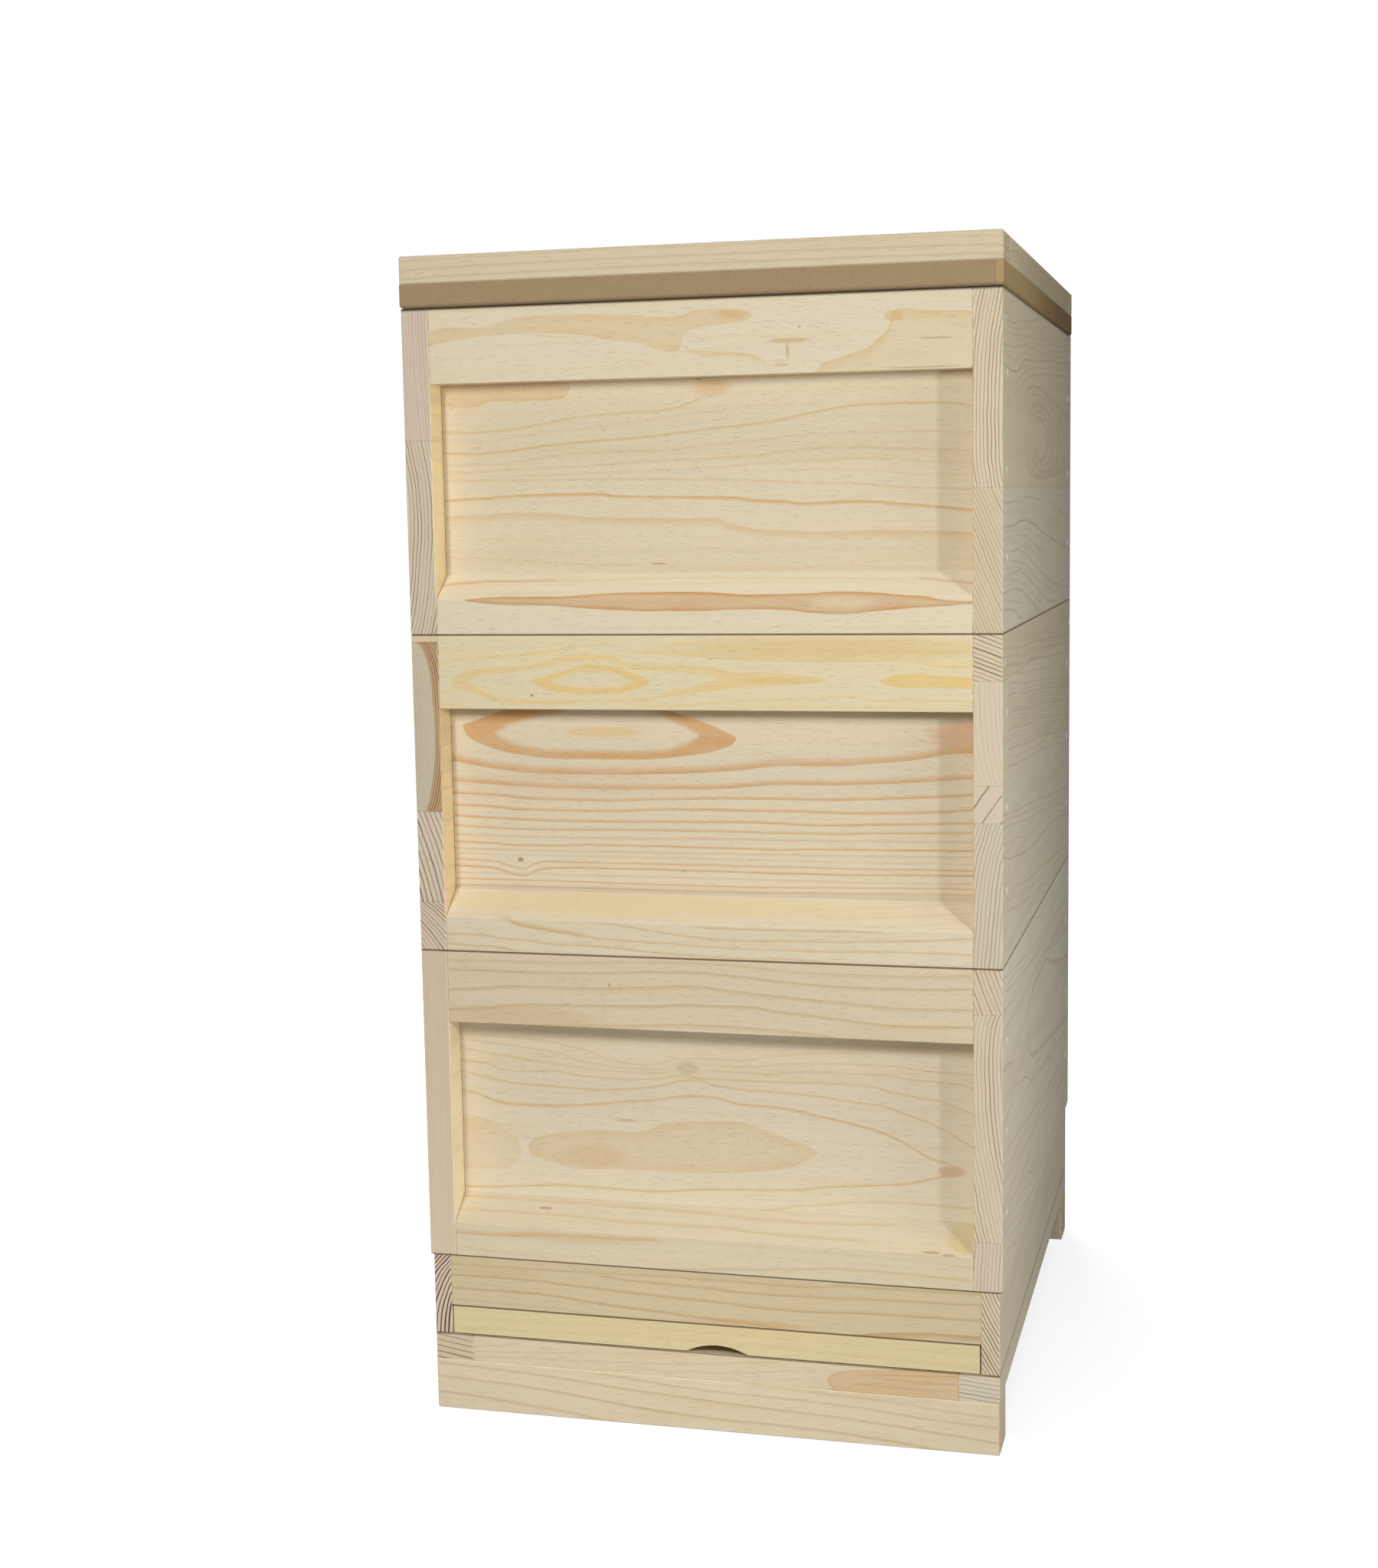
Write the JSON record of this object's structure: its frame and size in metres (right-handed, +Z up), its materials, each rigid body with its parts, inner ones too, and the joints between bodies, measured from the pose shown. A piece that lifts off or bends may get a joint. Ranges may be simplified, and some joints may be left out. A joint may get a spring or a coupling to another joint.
{
  "type": "zander beehive",
  "caption": "Stacked wooden beehive: footed floor with entrance block, mesh and drawer, lift-off boxes with recessed end walls and comb frames, and a flat insulated lid.",
  "frame": {"origin": "middle of the footprint, on the ground under the feet", "axes": "+Z up, -Y is the front with the bee entrance, +X is the hive's right seen from the front"},
  "size_m": [0.425, 0.517, 0.8455],
  "materials": {
    "pine": "planed, raw",
    "frame_wood": "planed, raw",
    "fibre_board": "pressed wood fibre",
    "insulation": "soft wood fibre",
    "wax": "embossed beeswax",
    "steel": "bright wire",
    "mesh_steel": "stainless",
    "tray_sheet": "smooth"
  },
  "bodies": {
    "floor": {"floor_drawer_runners": "pine", "floor_front_foot": "pine", "floor_front_rail": "pine", "floor_front_tie": "pine", "floor_left_bearer": "pine", "floor_left_side_board": "pine", "floor_mesh": "mesh_steel", "floor_rear_foot": "pine", "floor_rear_rail": "pine", "floor_right_bearer": "pine", "floor_right_side_board": "pine", "floor_screws": "steel"},
    "entrance_block": {"entrance_block": "pine"},
    "drawer": {"drawer_front": "pine", "drawer_rim_strips": "tray_sheet", "drawer_sheet": "tray_sheet"},
    "lower_box": {"lower_frame_foundations": "wax", "lower_frame_side_and_bottom_bars": "frame_wood", "lower_frame_top_bars": "frame_wood", "lower_front_bottom_rail": "pine", "lower_front_panel": "pine", "lower_front_top_rail": "pine", "lower_left_wall": "pine", "lower_nails": "steel", "lower_rear_bottom_rail": "pine", "lower_rear_panel": "pine", "lower_rear_top_rail": "pine", "lower_right_wall": "pine"},
    "middle_box": {"middle_frame_foundations": "wax", "middle_frame_side_and_bottom_bars": "frame_wood", "middle_frame_top_bars": "frame_wood", "middle_front_bottom_rail": "pine", "middle_front_panel": "pine", "middle_front_top_rail": "pine", "middle_left_wall": "pine", "middle_nails": "steel", "middle_rear_bottom_rail": "pine", "middle_rear_panel": "pine", "middle_rear_top_rail": "pine", "middle_right_wall": "pine"},
    "upper_box": {"upper_frame_foundations": "wax", "upper_frame_side_and_bottom_bars": "frame_wood", "upper_frame_top_bars": "frame_wood", "upper_front_bottom_rail": "pine", "upper_front_panel": "pine", "upper_front_top_rail": "pine", "upper_left_wall": "pine", "upper_nails": "steel", "upper_rear_bottom_rail": "pine", "upper_rear_panel": "pine", "upper_rear_top_rail": "pine", "upper_right_wall": "pine"},
    "lid": {"lid_base_board": "fibre_board", "lid_front_rail": "pine", "lid_insulation": "insulation", "lid_left_rail": "pine", "lid_rear_rail": "pine", "lid_right_rail": "pine", "lid_top_panel": "pine"}
  },
  "joints": [
    {"name": "lower_box_lift", "type": "slide", "parent": "floor", "child": "lower_box", "axis": [0, 0, 1], "range_m": [0, 0.25]},
    {"name": "middle_box_lift", "type": "slide", "parent": "lower_box", "child": "middle_box", "axis": [0, 0, 1], "range_m": [0, 0.25]},
    {"name": "upper_box_lift", "type": "slide", "parent": "middle_box", "child": "upper_box", "axis": [0, 0, 1], "range_m": [0, 0.25]},
    {"name": "lid_lift", "type": "slide", "parent": "upper_box", "child": "lid", "axis": [0, 0, 1], "range_m": [0, 0.3]},
    {"name": "entrance_block_slide", "type": "slide", "parent": "floor", "child": "entrance_block", "axis": [0, -1, 0], "range_m": [0, 0.06]},
    {"name": "drawer_slide", "type": "slide", "parent": "floor", "child": "drawer", "axis": [0, 1, 0], "range_m": [0, 0.44]}
  ]
}
